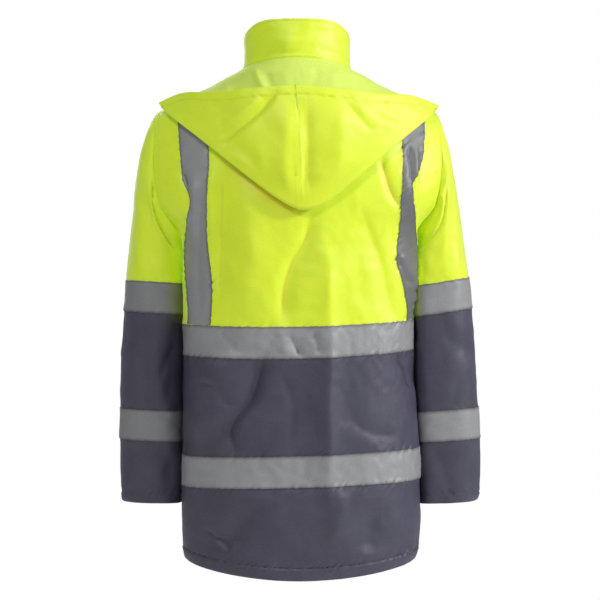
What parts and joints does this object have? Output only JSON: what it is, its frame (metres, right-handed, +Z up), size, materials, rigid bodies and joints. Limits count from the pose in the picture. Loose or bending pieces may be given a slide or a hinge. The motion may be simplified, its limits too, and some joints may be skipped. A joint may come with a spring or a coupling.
{
  "type": "hi-vis work jacket",
  "caption": "Hooded high-visibility work jacket, filled out as if worn: yellow over dark grey, with reflective tapes, a stand collar, a hood let down and a full front zip.",
  "frame": {"origin": "middle of the neck, level with the neck ends of the shoulder seams, where the wearer's shoulders carry the jacket", "axes": "+Z up, the front faces -Y, the wearer's left is +X"},
  "size_m": [0.5912, 0.3252, 0.889],
  "materials": {
    "yellow_cloth": "fluorescent yellow coated oxford weave",
    "grey_cloth": "dark grey coated oxford weave",
    "reflective_tape": "glass-bead reflective tape, satin silver grey",
    "zip_tape": "woven zip tape",
    "zip_teeth": "moulded teeth",
    "zip_metal": "satin"
  },
  "bodies": {
    "jacket": {"back_yoke": "yellow_cloth", "front_left_yoke": "yellow_cloth", "front_right_yoke": "yellow_cloth", "back_skirt": "grey_cloth", "front_left_skirt": "grey_cloth", "front_right_skirt": "grey_cloth", "sleeve_upper_left": "yellow_cloth", "sleeve_upper_right": "yellow_cloth", "sleeve_lower_left": "grey_cloth", "sleeve_lower_right": "grey_cloth", "collar": "yellow_cloth", "hood": "yellow_cloth", "waist_tape_back": "reflective_tape", "waist_tape_front_left": "reflective_tape", "waist_tape_front_right": "reflective_tape", "hem_tape_back": "reflective_tape", "hem_tape_front_left": "reflective_tape", "hem_tape_front_right": "reflective_tape", "brace_tape_left": "reflective_tape", "brace_tape_right": "reflective_tape", "sleeve_tape_upper_left": "reflective_tape", "sleeve_tape_upper_right": "reflective_tape", "sleeve_tape_lower_left": "reflective_tape", "sleeve_tape_lower_right": "reflective_tape", "zip_tape": "zip_tape", "zip_chain": "zip_teeth", "zip_slider": "zip_metal"},
    "pull_tab": {"zip_pull_tab": "zip_metal"}
  },
  "joints": [
    {"name": "pull_tab_hinge", "type": "hinge", "parent": "jacket", "child": "pull_tab", "pos_m": [0.005, -0.08592, 0.01806], "axis": [-1, 0, 0], "range_deg": [-5, 175]}
  ]
}
